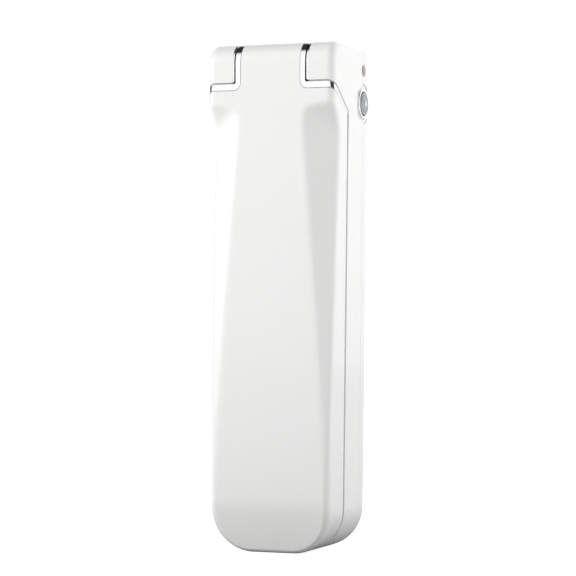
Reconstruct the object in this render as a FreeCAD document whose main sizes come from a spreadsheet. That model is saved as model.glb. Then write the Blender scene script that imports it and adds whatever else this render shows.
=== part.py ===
import FreeCAD, Part
import math
import os
import re
import Sketcher

# Handheld bag heat sealer: a folding clamshell.  The rear half (the base) holds the battery,
# the circuit and the heating strip.  The front half (the arm) swings on a cross shaft at the
# top end and presses the bag against the strip.
# Millimetres.  X to the right, the arm's finger face looks along -Y, +Z up to the hinge end.
# The origin is the middle of the flat bottom end.

doc = FreeCAD.newDocument("bag_heat_sealer")
sheet = doc.addObject("Spreadsheet::Sheet", "Sizes")

SIZES = [
    # overall shape
    ("height", 150), ("width_top", 40), ("width_bottom", 37.4), ("depth_front", 16.5),
    ("depth_rear", 16.5), ("corner_radius", 12.5), ("front_round", 2.4), ("rear_round", 3.1),
    ("wall", 1.8), ("plate", 2), ("seam", 3.3), ("seam_gap", 0.4), ("split", 10),
    ("groove", 0.15), ("trim_corner", 2.1), ("ear_corner", 0.5),
    # hinge
    ("hinge_inset", 6), ("shaft_radius", 1.5), ("shaft_half", 17), ("running_fit", 0.03),
    ("bush_radius", 2.4), ("shoulder_angle", 31.5), ("shoulder_distance", 8.4),
    ("shoulder_gap", 0.45), ("knuckle_half", 10.9), ("knuckle_gap", 0.4), ("cheek", 1.5),
    ("ear_trim", 0.6), ("band_front", 1.8), ("band_rear", 0.5), ("washer_radius", 3.4),
    # finger facets of the arm
    ("facet_top", 131.5), ("facet_full", 124), ("facet_mid", 66), ("facet_end", 12),
    ("toe_height", 14), ("toe_depth", 2.2), ("plateau_full", 10.3), ("plateau_mid", 14.75),
    ("facet_side_full", 5.8), ("facet_side_mid", 2.15), ("hollow_depth", 5.5), ("blank_top", 8),
    # press bar and heating strip
    ("seal_bottom", 20), ("seal_length", 98), ("seal_half", 4.5), ("pad_gap", 0.4),
    ("pad_proud", 0.5), ("press_travel", 0.9), ("liner", 2.2), ("slip", 0.15),
    ("tray_flange", 2.7), ("tray_side", 3.6), ("tray_end", 5), ("window_side", 1.4),
    ("window_end", 2.9), ("tray_screw_out", 2.6), ("tray_screw_in", 20), ("fuse_radius", 1.4),
    # button and indicator
    ("button_z", 133.5), ("button_radius", 3.5), ("bezel_radius", 4.7), ("press", 0.5),
    ("indicator_z", 143.5), ("indicator_radius", 1.8), ("port_half", 4.5),
    # circuit board and battery
    ("board_y", 12.3), ("board_thick", 1.2), ("board_half", 15.5), ("board_low", 98),
    ("board_high", 146.5), ("battery_half", 15), ("battery_low", 22), ("battery_length", 60),
    ("battery_front", 5.9), ("battery_thick", 7.3),
    # fixings
    ("screw_radius", 1), ("screw_head", 2.2), ("boss_radius", 2.8), ("screw_low_x", 9),
    ("screw_low_z", 11.5), ("screw_high_x", 12), ("screw_high_z", 91), ("arm_screw_x", 13.5),
    ("arm_screw_low", 26), ("arm_screw_high", 112), ("magnet_radius", 2.5), ("magnet_z", 8),
    ("head_seat", 2.5), ("head_top", 4.2), ("arm_boss", 2.6), ("magnet_depth", 1.5),
    ("arm_head_seat", 1.2), ("board_screw_x", 12.5), ("board_screw_up", 15),
]
for row, (alias, value) in enumerate(SIZES, 1):
    sheet.set("A%d" % row, alias)
    sheet.set("B%d" % row, str(value))
    sheet.setAlias("B%d" % row, alias)
doc.recompute()

ALIASES = re.compile(r"\b(" + "|".join(alias for alias, value in SIZES) + r")\b")

# Places several pieces share, written once in terms of the sheet.
BASE_FACE = "-(seam - seam_gap/2)"
ARM_FACE = "-(seam + seam_gap/2)"
AXIS_Y = "-(depth_front - hinge_inset)"
AXIS_Z = "(height - hinge_inset)"
FRONT = "-depth_front"
INNER_FRONT = BASE_FACE + " + plate"
INNER_REAR = "depth_rear - plate"
KNUCKLE_WALL = AXIS_Y + " + hinge_inset + knuckle_gap"
SEAL_TOP = "seal_bottom + seal_length"
EAR_INNER = "knuckle_half + knuckle_gap"
EAR_FACE = EAR_INNER + " + ear_trim"
COVER_FACE = BASE_FACE + " + pad_gap + pad_proud - seam_gap"
RIBBON = 0.25
PAD_FACE = ARM_FACE + " + pad_proud"


def expr(text):
    """The text with every size name pointed at the sheet."""
    return ALIASES.sub(r"Sizes.\1", str(text))


def value_of(text):
    return float(sheet.evalExpression(expr(text)))


def half_width(z, inset="0"):
    """Half the width at height z, the sides leaning in towards the bottom end."""
    lean = "(width_bottom + (width_top - width_bottom)*(%s)/height)/2 - (%s)"
    return lean % (z, inset)


def shoulder_z(y, distance):
    """Height of the sloping shoulder under the hinge, `distance` from the hinge axis."""
    rise = "%s - ((%s) + sin(shoulder_angle)*((%s) - (%s)))/cos(shoulder_angle)"
    return rise % (AXIS_Z, distance, y, AXIS_Y)


def outline(inset="0", top=None):
    """Front view of the whole sealer, drawn in by `inset` and stopping at height `top`."""
    return ("outline", inset, top or "height - (%s)" % inset)


def outline_points(inset, top):
    """Corners of the outline going round from the bottom: the lower two are arc ends."""
    lean = "((width_top - width_bottom)/2/height)"
    radius = "(corner_radius - (%s))" % inset
    length = "sqrt(1 + %s^2)" % lean
    reach = "%s/(%s + %s)" % (radius, length, lean)
    corner = half_width(inset, inset)
    side = ("(%s) + %s*%s/%s" % (corner, reach, lean, length), "(%s) + %s/%s" % (inset, reach, length))
    foot = ("(%s) - %s" % (corner, reach), inset)
    head = (half_width(top, inset), top)
    right = [foot, side, head]
    return right + [("-(%s)" % u, v) for u, v in reversed(right)], radius


def rectangle(u0, u1, v0, v1):
    return [(u0, v0), (u1, v0), (u1, v1), (u0, v1)]


def draw(sketch, shape):
    """Add one closed outline, or a circle (u, v, radius), tied to the sheet."""
    def tie(kind, geometry, point, text):
        where = Sketcher.Constraint(kind, -1, 1, geometry, point, value_of(text))
        sketch.setExpression("Constraints[%d]" % sketch.addConstraint(where), expr(text))

    if isinstance(shape, tuple) and shape[0] != "outline":
        u, v, radius = shape
        centre = FreeCAD.Vector(value_of(u), value_of(v), 0)
        circle = Part.Circle(centre, FreeCAD.Vector(0, 0, 1), value_of(radius))
        index = sketch.addGeometry(circle, False)
        tie("DistanceX", index, 3, u)
        tie("DistanceY", index, 3, v)
        size = sketch.addConstraint(Sketcher.Constraint("Radius", index, value_of(radius)))
        sketch.setExpression("Constraints[%d]" % size, expr(radius))
        return
    arcs = {}
    if shape[0] == "outline":
        shape, radius = outline_points(*shape[1:])
        arcs = {0: 1, 4: -1}
    points = [FreeCAD.Vector(value_of(u), value_of(v), 0) for u, v in shape]
    first = sketch.GeometryCount
    count = len(points)
    for index in range(count):
        start = points[index]
        end = points[(index + 1) % count]
        if index in arcs:
            size = value_of(radius)
            foot = start if arcs[index] > 0 else end
            centre = foot + FreeCAD.Vector(0, size, 0)
            middle = (start + end)*0.5 - centre
            middle = centre + middle.normalize()*size
            sketch.addGeometry(Part.Arc(start, middle, end), False)
            length = sketch.addConstraint(Sketcher.Constraint("Radius", first + index, size))
            sketch.setExpression("Constraints[%d]" % length, expr(radius))
        else:
            sketch.addGeometry(Part.LineSegment(start, end), False)
    for index in range(count):
        following = first + (index + 1) % count
        sketch.addConstraint(Sketcher.Constraint("Coincident", first + index, 2, following, 1))
    for index, (u, v) in enumerate(shape):
        tie("DistanceX", first + index, 1, u)
        tie("DistanceY", first + index, 1, v)


def sketch_on(body, plane, name, offset, shapes):
    sketch = body.newObject("Sketcher::SketchObject", name)
    support = [f for f in body.Origin.OriginFeatures if f.Role == plane + "_Plane"][0]
    sketch.AttachmentSupport = [(support, "")]
    sketch.MapMode = "FlatFace"
    sketch.setExpression("AttachmentOffset.Base.z", expr(offset))
    doc.recompute()
    for shape in shapes:
        draw(sketch, shape)
    return sketch


def extrude(body, kind, plane, name, low, high, shapes):
    """Pad or pocket between two world positions along the plane's normal."""
    pad = kind == "Pad"
    if plane == "XZ":
        offset = "-(%s)" % (high if pad else low)
    else:
        offset = low if pad else high
    before = body.Shape.Volume if body.Tip else 0
    sketch = sketch_on(body, plane, name + "_sketch", offset, shapes)
    feature = body.newObject("PartDesign::" + kind, name)
    feature.Profile = sketch
    feature.setExpression("Length", expr("(%s) - (%s)" % (high, low)))
    body.Tip = feature
    doc.recompute()
    change = body.Shape.Volume - before
    if (change <= 0) if pad else (change >= 0):
        raise RuntimeError("%s %s changed nothing" % (body.Label, name))
    return feature


def pad(body, plane, name, low, high, *shapes):
    return extrude(body, "Pad", plane, name, low, high, shapes)


def pocket(body, plane, name, low, high, *shapes):
    return extrude(body, "Pocket", plane, name, low, high, shapes)


def edges_where(shape, **limits):
    """Names of the edges lying wholly between the given x, y and z limits."""
    found = []
    for index, edge in enumerate(shape.Edges, 1):
        box = edge.BoundBox
        spans = {"x": (box.XMin, box.XMax), "y": (box.YMin, box.YMax), "z": (box.ZMin, box.ZMax)}
        if all(spans[axis][0] >= low - 0.01 and spans[axis][1] <= high + 0.01
               for axis, (low, high) in limits.items()):
            found.append("Edge%d" % index)
    return found


def dress(body, kind, name, size, edges):
    """Fillet or chamfer the named edges of the body's last feature."""
    base = body.Tip
    feature = body.newObject("PartDesign::" + kind, name)
    feature.Base = (base, edges)
    feature.setExpression("Radius" if kind == "Fillet" else "Size", expr(size))
    body.Tip = feature
    doc.recompute()
    if "Invalid" in feature.State:
        raise RuntimeError("%s %s failed on %s" % (body.Label, name, edges))
    return feature


def body(label):
    item = doc.addObject("PartDesign::Body", label)
    item.Label = label
    return item


def repeat(label, source, places):
    """One node holding copies of a source body at (x, y, z) places."""
    copies = []
    for index, place in enumerate(places):
        link = doc.addObject("App::Link", "%s_%d" % (label, index + 1))
        link.LinkedObject = source
        for axis, text in zip("xyz", place):
            link.setExpression("Placement.Base." + axis, expr(text))
        copies.append(link)
    group = doc.addObject("Part::Compound", label)
    group.Label = label
    group.Links = copies
    return group


def mirrored(label, source):
    item = doc.addObject("Part::Mirroring", label)
    item.Label = label
    item.Source = source
    item.Normal = FreeCAD.Vector(1, 0, 0)
    item.Base = FreeCAD.Vector(0, 0, 0)
    return item


NODES = []


def node(item):
    NODES.append(item)
    return item


def side_holes(item, prefix):
    """The holes both base shells share along the split line: button, lens and port."""
    side = half_width("button_z")
    reach = "width_top/2 + 1"
    inside = side + " - wall - 1.6"
    pocket(item, "YZ", prefix + "_button_dish", side + " - 0.35", reach,
           ("split", "button_z", "bezel_radius + 1.3"))
    pocket(item, "YZ", prefix + "_button_hole", inside, reach, ("split", "button_z", "bezel_radius"))
    pocket(item, "YZ", prefix + "_lens_hole", inside, reach,
           ("split", "indicator_z", "indicator_radius"))
    pocket(item, "YZ", prefix + "_port_hole", "-(%s)" % reach, "-(%s)" % inside,
           rectangle("board_y - 3.3", "board_y", "button_z - port_half - 0.1",
                     "button_z + port_half + 0.1"))


SCREW_PLACES = [("-screw_low_x", "screw_low_z"), ("screw_low_x", "screw_low_z"),
                ("-screw_high_x", "screw_high_z"), ("screw_high_x", "screw_high_z")]
BOARD_SCREWS = [("-board_screw_x", "board_low + board_screw_up"),
                ("board_screw_x", "board_low + board_screw_up")]
TRAY_SCREWS = [(side + "(seal_half + tray_screw_out)", height) for side in ("-", "")
               for height in ("seal_bottom + tray_screw_in",
                              "seal_bottom + seal_length - tray_screw_in")]
ARM_SCREWS = [("-arm_screw_x", "arm_screw_low"), ("arm_screw_x", "arm_screw_low"),
              ("-arm_screw_x", "arm_screw_high"), ("arm_screw_x", "arm_screw_high")]

# ---------------------------------------------------------------- base, front shell
# Moulded shell with the two ears that carry the hinge shaft; its front plate has the slot
# for the heater tray and its open back is closed by the rear shell.
front_shell = node(body("base_front_shell"))
pad(front_shell, "XZ", "blank", FRONT, "split", outline())
dress(front_shell, "Fillet", "hinge_round", "hinge_inset",
      edges_where(front_shell.Shape, y=(value_of(FRONT), value_of(FRONT)),
                  z=(value_of("height"), value_of("height"))))
ear_front = shoulder_z(FRONT + " - 1", "shoulder_distance - shoulder_gap")
ear_rear = shoulder_z(BASE_FACE, "shoulder_distance - shoulder_gap")
pocket(front_shell, "YZ", "arm_space", "-width_top", "width_top",
       [(FRONT + " - 1", "-1"), (FRONT + " - 1", ear_front), (BASE_FACE, ear_rear),
        (BASE_FACE, "-1")])
ear_edges = [name for name in edges_where(front_shell.Shape, y=(-99, value_of(AXIS_Y)))
             if abs(front_shell.Shape.getElement(name).BoundBox.XLength) < 0.2]
ear_edges = [name for name in ear_edges
             if front_shell.Shape.getElement(name).BoundBox.ZMax > value_of(AXIS_Z) - 0.1]
dress(front_shell, "Fillet", "ear_corners", "front_round", ear_edges)
pocket(front_shell, "XZ", "knuckle_space", FRONT + " - 1", KNUCKLE_WALL,
       rectangle("-(%s)" % EAR_FACE, EAR_FACE, shoulder_z(BASE_FACE, "shoulder_distance"),
                 "height + 1"))
dress(front_shell, "Chamfer", "split_groove", "groove",
      edges_where(front_shell.Shape, y=(value_of("split"), value_of("split"))))
pocket(front_shell, "XZ", "hollow", INNER_FRONT, "split", outline("wall"))
pad(front_shell, "XZ", "screw_bosses", INNER_FRONT, "split",
    *[(x, z, "boss_radius") for x, z in SCREW_PLACES])
pocket(front_shell, "XZ", "screw_pilots", INNER_FRONT + " + 2", "split",
       *[(x, z, "screw_radius") for x, z in SCREW_PLACES])
pocket(front_shell, "XZ", "tray_slot", BASE_FACE, INNER_FRONT,
       rectangle("-(seal_half + 1.5)", "seal_half + 1.5", "seal_bottom - 3", SEAL_TOP + " + 3"))
pocket(front_shell, "XZ", "tray_pilots", BASE_FACE + " + 0.7", INNER_FRONT,
       *[(x, z, "0.7") for x, z in TRAY_SCREWS])
pocket(front_shell, "XZ", "magnet_seat", BASE_FACE, BASE_FACE + " + magnet_depth",
       ("0", "magnet_z", "magnet_radius"))
side_holes(front_shell, "front")
pocket(front_shell, "YZ", "shaft_bore", "-(shaft_half)", "shaft_half",
       (AXIS_Y, AXIS_Z, "shaft_radius"))
pocket(front_shell, "YZ", "plug_bore", "-(width_top/2 + 1)", "-shaft_half",
       (AXIS_Y, AXIS_Z, "shaft_radius + 1"))

# ---------------------------------------------------------------- base, rear shell
# Shallow back moulding, rounded all round its outer edge, with the screw bosses.
rear_shell = node(body("base_rear_shell"))
pad(rear_shell, "XZ", "blank", "split", "depth_rear", outline())
dress(rear_shell, "Fillet", "top_corners", "front_round",
      [name for side in (-1, 1) for name in edges_where(
          rear_shell.Shape, x=(side*value_of("width_top/2"),) * 2,
          z=(value_of("height"),) * 2)])
dress(rear_shell, "Fillet", "back_round", "rear_round",
      edges_where(rear_shell.Shape, y=(value_of("depth_rear"), value_of("depth_rear"))))
dress(rear_shell, "Chamfer", "split_groove", "groove",
      edges_where(rear_shell.Shape, y=(value_of("split"), value_of("split"))))
pocket(rear_shell, "XZ", "hollow", "split", INNER_REAR, outline("wall + 1"))
pad(rear_shell, "XZ", "screw_bosses", "split", INNER_REAR,
    *[(x, z, "boss_radius + 0.9") for x, z in SCREW_PLACES])
pad(rear_shell, "XZ", "board_posts", "board_y + board_thick", INNER_REAR,
    *[(x, z, "2.4") for x, z in BOARD_SCREWS])
pocket(rear_shell, "XZ", "board_pilots", "board_y + board_thick", "depth_rear - 0.8",
       *[(x, z, "0.9") for x, z in BOARD_SCREWS])
pocket(rear_shell, "XZ", "screw_holes", "split", "depth_rear",
       *[(x, z, "screw_radius + 0.2") for x, z in SCREW_PLACES])
pocket(rear_shell, "XZ", "screw_counterbores", "split + head_seat", "depth_rear",
       *[(x, z, "screw_head + 0.4") for x, z in SCREW_PLACES])
side_holes(rear_shell, "rear")

# ---------------------------------------------------------------- casing screws and feet
# Four pan-head screws from the back, each hidden by a push-in rubber foot.
screw = body("casing_screw_form")
pad(screw, "XZ", "head", "split + head_seat", "split + head_top", ("0", "0", "screw_head"))
pad(screw, "XZ", "shank", "split - 7", "split + head_seat", ("0", "0", "screw_radius"))
pocket(screw, "XZ", "slot", "split + 3.4", "split + head_top", rectangle("-1.4", "1.4", "-0.3", "0.3"))
casing_screws = node(repeat("casing_screws", screw, [(x, "0", z) for x, z in SCREW_PLACES]))
foot = body("rubber_foot_form")
pad(foot, "XZ", "stem", "split + 4.4", "depth_rear", ("0", "0", "screw_head + 0.4"))
pad(foot, "XZ", "pad", "depth_rear", "depth_rear + 0.6", ("0", "0", "screw_head + 1.3"))
dress(foot, "Fillet", "soft_edge", "0.3",
      edges_where(foot.Shape, y=(value_of("depth_rear + 0.6"), value_of("depth_rear + 0.6"))))
rubber_feet = node(repeat("rubber_feet", foot, [(x, "0", z) for x, z in SCREW_PLACES]))

# ---------------------------------------------------------------- heater
# A heat-proof tray fills the slot in the front plate.  On it lie an insulating bar, the
# nickel-chrome ribbon and a slippery cover sheet; two brass terminals pass through the floor.
tray = node(body("heater_tray"))
pad(tray, "XZ", "flange", INNER_FRONT, INNER_FRONT + " + tray_flange",
    rectangle("-(seal_half + tray_side)", "seal_half + tray_side", "seal_bottom - tray_end",
              SEAL_TOP + " + tray_end"))
pad(tray, "XZ", "rim", BASE_FACE, INNER_FRONT,
    rectangle("-(seal_half + window_side)", "seal_half + window_side", "seal_bottom - window_end",
              SEAL_TOP + " + window_end"))
ledge = COVER_FACE + " + %s" % RIBBON
bar_floor = ledge + " + 1.45"
pocket(tray, "XZ", "cover_recess", BASE_FACE, ledge,
       rectangle("-(seal_half + 0.1)", "seal_half + 0.1", "seal_bottom - 2", SEAL_TOP + " + 2"))
pocket(tray, "XZ", "bar_recess", ledge, bar_floor,
       rectangle("-(seal_half - 1)", "seal_half - 1", "seal_bottom - 1", SEAL_TOP + " + 1"))
terminal_slots = [rectangle("-1", "1", "seal_bottom + 0.4", "seal_bottom + 1.6"),
                  rectangle("-1", "1", SEAL_TOP + " - 1.6", SEAL_TOP + " - 0.4")]
pocket(tray, "XZ", "terminal_slots", bar_floor, INNER_FRONT + " + tray_flange", *terminal_slots)
pocket(tray, "XZ", "screw_holes", INNER_FRONT, INNER_FRONT + " + tray_flange",
       *[(x, z, "0.75") for x, z in TRAY_SCREWS])

bar = node(body("insulating_bar"))
pad(bar, "XZ", "bar", ledge, bar_floor,
    rectangle("-(seal_half - 1)", "seal_half - 1", "seal_bottom - 1", SEAL_TOP + " + 1"))
pocket(bar, "XZ", "ribbon_groove", ledge, ledge + " + %s" % RIBBON,
       rectangle("-1.5", "1.5", "seal_bottom", SEAL_TOP))
pocket(bar, "XZ", "terminal_slots", ledge + " + %s" % RIBBON, bar_floor, *terminal_slots)

ribbon = node(body("heating_ribbon"))
pad(ribbon, "XZ", "ribbon", ledge, ledge + " + %s" % RIBBON,
    rectangle("-1.5", "1.5", "seal_bottom", SEAL_TOP))

cover_sheet = node(body("ribbon_cover_sheet"))
pad(cover_sheet, "XZ", "sheet", COVER_FACE, ledge,
    rectangle("-seal_half", "seal_half", "seal_bottom - 1.9", SEAL_TOP + " + 1.9"))

terminal = node(body("ribbon_terminals"))
terminal.AllowCompound = True
pad(terminal, "XZ", "posts", ledge + " + %s" % RIBBON, INNER_FRONT + " + 5", *terminal_slots)

tray_screw = body("tray_screw_form")
pad(tray_screw, "XZ", "head", INNER_FRONT + " + tray_flange", INNER_FRONT + " + 3.6", ("0", "0", "1.3"))
pad(tray_screw, "XZ", "shank", BASE_FACE + " + 0.8", INNER_FRONT + " + tray_flange", ("0", "0", "0.7"))
tray_screws = node(repeat("tray_screws", tray_screw, [(x, "0", z) for x, z in TRAY_SCREWS]))

# ---------------------------------------------------------------- battery
# Flat lithium pouch cell bedded on a foam pad against the back shell.
battery_top = "battery_low + battery_length"
battery = node(body("battery_pack"))
pad(battery, "XZ", "pouch", "battery_front", "battery_front + battery_thick",
    rectangle("-battery_half", "battery_half", "battery_low", battery_top))
dress(battery, "Fillet", "pouch_sides", "2",
      [name for side in (-1, 1) for depth in ("battery_front", "battery_front + battery_thick")
       for name in edges_where(battery.Shape,
                               x=(side*value_of("battery_half"), side*value_of("battery_half")),
                               y=(value_of(depth), value_of(depth)))])
foam = node(body("battery_foam_pad"))
pad(foam, "XZ", "foam", "battery_front + battery_thick", INNER_REAR,
    rectangle("-(battery_half - 2.5)", "battery_half - 2.5", "battery_low + 3",
              battery_top + " - 3"))

# ---------------------------------------------------------------- circuit board
# Board screwed to the back shell, with its parts on the side facing the heater.
board = node(body("circuit_board"))
pad(board, "XZ", "board", "board_y", "board_y + board_thick",
    rectangle("-board_half", "board_half", "board_low", "board_high"))
pocket(board, "XZ", "screw_holes", "board_y", "board_y + board_thick",
       *[(x, z, "1.1") for x, z in BOARD_SCREWS])
board_screw = body("board_screw_form")
pad(board_screw, "XZ", "head", "board_y - 1.2", "board_y", ("0", "0", "1.9"))
pad(board_screw, "XZ", "shank", "board_y", "depth_rear - 1", ("0", "0", "0.9"))
board_screws = node(repeat("board_screws", board_screw, [(x, "0", z) for x, z in BOARD_SCREWS]))


def board_part(label, x, z, size_x, size_z, tall):
    """A square-cornered component standing on the front of the board."""
    item = node(body(label))
    pad(item, "XZ", "case", "board_y - (%s)" % tall, "board_y",
        rectangle("(%s) - %s/2" % (x, size_x), "(%s) + %s/2" % (x, size_x),
                  "(%s) - %s/2" % (z, size_z), "(%s) + %s/2" % (z, size_z)))
    return item


inductor = board_part("power_inductor", "-9", "board_low + 24", "8", "8", "4")
dress(inductor, "Chamfer", "corners", "1.2",
      [name for name in edges_where(inductor.Shape)
       if inductor.Shape.getElement(name).BoundBox.YLength > 1])
chip = board_part("control_chip", "2", "board_low + 30", "6", "6", "1.1")
transistor = body("transistor_form")
pad(transistor, "XZ", "case", "board_y - 2.3", "board_y", rectangle("-3", "3", "-3", "3"))
pad(transistor, "XZ", "tab", "board_y - 1", "board_y", rectangle("-2.4", "2.4", "3", "4.4"))
transistors = node(repeat("power_transistors", transistor,
                          [("6", "0", "board_low + 16"), ("-4.5", "0", "board_low + 14")]))
capacitor = body("capacitor_form")
pad(capacitor, "XZ", "can", "board_y - 5", "board_y", ("0", "0", "2.4"))
capacitors = node(repeat("filter_capacitors", capacitor,
                         [("-3.5", "0", "board_low + 37"), ("3", "0", "board_low + 40")]))
plug = board_part("battery_connector", "-5.5", "board_low + 3.5", "7", "5", "4.5")

switch = node(body("button_switch"))
pad(switch, "XZ", "case", "split - 2.3", "board_y",
    rectangle("9.5", "14.5", "button_z - 3.2", "button_z + 3.2"))
pocket(switch, "YZ", "plunger_hole", "12.9", "14.5", ("split", "button_z", "1.3"))

led = node(body("indicator_led"))
pad(led, "XZ", "case", "split - 1.2", "board_y",
    rectangle("14", "16.9", "indicator_z - 1.2", "indicator_z + 1.2"))

port = node(body("charging_port"))
port_mouth = "-(%s) + 0.3" % half_width("button_z")
pad(port, "YZ", "shell", port_mouth, port_mouth + " + 7.4",
    rectangle("board_y - 3.2", "board_y", "button_z - port_half", "button_z + port_half"))
dress(port, "Fillet", "rounded_mouth", "1.2",
      [name for name in edges_where(port.Shape)
       if port.Shape.getElement(name).BoundBox.XLength > 1])
pocket(port, "YZ", "mouth", port_mouth, port_mouth + " + 6.2",
       rectangle("board_y - 2.8", "board_y - 0.4", "button_z - port_half + 0.5",
                 "button_z + port_half - 0.5"))
pad(port, "YZ", "tongue", port_mouth + " + 1", port_mouth + " + 6.2",
    rectangle("board_y - 1.95", "board_y - 1.25", "button_z - 3.2", "button_z + 3.2"))

# ---------------------------------------------------------------- button and indicator lens
# Chrome ring let into the side wall, a stepped cap sliding in it, a clear dot in the cap.
wall_side = half_width("button_z")
bezel = node(body("button_bezel"))
pad(bezel, "YZ", "ring", wall_side + " - wall - 0.2", wall_side + " + 0.3",
    ("split", "button_z", "bezel_radius"))
pocket(bezel, "YZ", "opening", wall_side + " - wall - 0.2", wall_side + " + 0.3",
       ("split", "button_z", "button_radius + 0.1"))
dress(bezel, "Fillet", "ring_round", "0.3",
      edges_where(bezel.Shape, x=(value_of(wall_side + " + 0.3"), value_of(wall_side + " + 0.3"))))

cap = node(body("button_cap"))
cap_back = wall_side + " - wall - 0.3"
pad(cap, "YZ", "head", cap_back, wall_side + " + 0.55", ("split", "button_z", "button_radius"))
pad(cap, "YZ", "collar", cap_back + " - 0.8", cap_back, ("split", "button_z", "button_radius + 0.8"))
pad(cap, "YZ", "stem", cap_back + " - 1.4", cap_back + " - 0.8", ("split", "button_z", "1.6"))
pad(cap, "YZ", "step", wall_side + " + 0.55", wall_side + " + 0.8",
    ("split", "button_z", "button_radius - 1"))
pocket(cap, "YZ", "ring_groove", wall_side + " + 0.3", wall_side + " + 0.55",
       ("split", "button_z", "button_radius - 0.45"), ("split", "button_z", "button_radius - 0.8"))
pocket(cap, "YZ", "dot_seat", wall_side + " + 0.1", wall_side + " + 0.8",
       ("split", "button_z", "0.85"))

dot = node(body("button_lens"))
pad(dot, "YZ", "dot", wall_side + " + 0.1", wall_side + " + 0.85", ("split", "button_z", "0.85"))

plunger = node(body("switch_plunger"))
pad(plunger, "YZ", "plunger", "13.6", cap_back + " - 1.4", ("split", "button_z", "1.2"))

lens = node(body("indicator_lens"))
pad(lens, "YZ", "lens", "17.6", half_width("indicator_z"),
    ("split", "indicator_z", "indicator_radius"))

# ---------------------------------------------------------------- hinge
# Steel cross shaft pushed in from the left, hidden by a plug; friction washers hold the arm
# wherever it is left; thin bright cheeks face the ears.
shaft = node(body("hinge_shaft"))
pad(shaft, "YZ", "shaft", "-shaft_half", "shaft_half", (AXIS_Y, AXIS_Z, "shaft_radius"))
shaft_plug = node(body("hinge_plug"))
pad(shaft_plug, "YZ", "plug", "-(%s)" % half_width(AXIS_Z), "-shaft_half",
    (AXIS_Y, AXIS_Z, "shaft_radius + 1"))

ear_cheek = node(body("ear_trim_right"))
ear_low = "shoulder_distance - shoulder_gap"
pad(ear_cheek, "YZ", "cheek", EAR_INNER, EAR_FACE,
    [(FRONT, shoulder_z(FRONT, ear_low)), (KNUCKLE_WALL, shoulder_z(KNUCKLE_WALL, ear_low)),
     (KNUCKLE_WALL, "height"), (FRONT, "height")])
dress(ear_cheek, "Fillet", "hinge_round", "hinge_inset",
      edges_where(ear_cheek.Shape, y=(value_of(FRONT), value_of(FRONT)),
                  z=(value_of("height"), value_of("height"))))
dress(ear_cheek, "Fillet", "low_corner", "ear_corner",
      [name for name in edges_where(ear_cheek.Shape, x=(value_of(EAR_INNER),) * 2,
                                    z=(0, value_of("height - blank_top")))
       if ear_cheek.Shape.getElement(name).BoundBox.YLength > 5])
pocket(ear_cheek, "YZ", "bore", EAR_INNER, EAR_FACE, (AXIS_Y, AXIS_Z, "shaft_radius"))
ear_cheek_left = node(mirrored("ear_trim_left", ear_cheek))

washer = body("friction_washer_form")
pad(washer, "YZ", "disc", "knuckle_half - 0.4", EAR_INNER, (AXIS_Y, AXIS_Z, "washer_radius"))
pocket(washer, "YZ", "bore", "knuckle_half - 0.4", EAR_INNER,
       (AXIS_Y, AXIS_Z, "shaft_radius"))
washer_left = mirrored("friction_washer_left", washer)
washers = doc.addObject("Part::Compound", "friction_washers")
washers.Links = [washer, washer_left]
node(washers)

bush = body("hinge_bush_form")
pad(bush, "YZ", "sleeve", "5", "knuckle_half - 0.5", (AXIS_Y, AXIS_Z, "bush_radius"))
pocket(bush, "YZ", "bore", "5", "knuckle_half - 0.5",
       (AXIS_Y, AXIS_Z, "shaft_radius + running_fit"))
bush_left = mirrored("hinge_bush_left", bush)
bushes = doc.addObject("Part::Compound", "hinge_bushes")
bushes.Links = [bush, bush_left]
node(bushes)

# ---------------------------------------------------------------- arm
# The finger-side moulding: a flat middle that widens towards the bottom between two sloping
# facets, and the central knuckle that turns on the shaft.
knuckle_low = "facet_full + 2"
knuckle_web = rectangle(FRONT, AXIS_Y + " + hinge_inset", knuckle_low, AXIS_Z)
inner_knuckle = "knuckle_half - cheek"
band_front_z = shoulder_z(FRONT, "shoulder_distance") + " - band_front"
band_rear_z = shoulder_z(ARM_FACE, "shoulder_distance") + " - band_rear"


def extend_z(z_from, z_to, y_from, y_to, y):
    """Height at depth y on the straight line through two known heights."""
    return "(%s) + ((%s) - (%s))*((%s) - (%s))/((%s) - (%s))" % (
        z_from, z_to, z_from, y, y_from, y_to, y_from)


cover = node(body("arm_cover"))
pad(cover, "XZ", "blank", FRONT, ARM_FACE, outline())
pocket(cover, "YZ", "toe", "-width_top", "width_top",
       [(FRONT + " - 1", "-1"), (FRONT + " + toe_depth*(1 + 1/toe_height)", "-1"),
        (FRONT, "toe_height"), (FRONT + " - 1", "toe_height")])
front_edges = [name for name in edges_where(cover.Shape, y=(value_of(FRONT),
                                                            value_of(FRONT + " + toe_depth")))
               if cover.Shape.getElement(name).BoundBox.ZLength > 0.01
               or cover.Shape.getElement(name).BoundBox.ZMax < 1]
dress(cover, "Fillet", "front_round", "front_round", front_edges)
pocket(cover, "YZ", "shoulder", "-width_top", "width_top",
       [(FRONT + " - 1", extend_z(band_front_z, band_rear_z, FRONT, ARM_FACE, FRONT + " - 1")),
        (ARM_FACE + " + 1",
         extend_z(band_front_z, band_rear_z, FRONT, ARM_FACE, ARM_FACE + " + 1")),
        (ARM_FACE + " + 1", "height + 1"), (FRONT + " - 1", "height + 1")])


def facet_section(item, index, side, z, inner, drop):
    """Triangle across one front corner: from the plateau edge to `drop` down the side."""
    outer = half_width(z)
    slope = "(%s)/((%s) - (%s))" % (drop, outer, inner)
    points = [("%d*((%s) - 1)" % (side, inner), "%s - %s" % (FRONT, slope)),
              ("%d*((%s) + 1)" % (side, outer), "%s + (%s) + %s" % (FRONT, drop, slope)),
              ("%d*((%s) + 1)" % (side, outer), "%s - %s" % (FRONT, slope))]
    return sketch_on(item, "XY", "facet_%d_%d" % (index, side + 1), z, [points])


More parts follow.
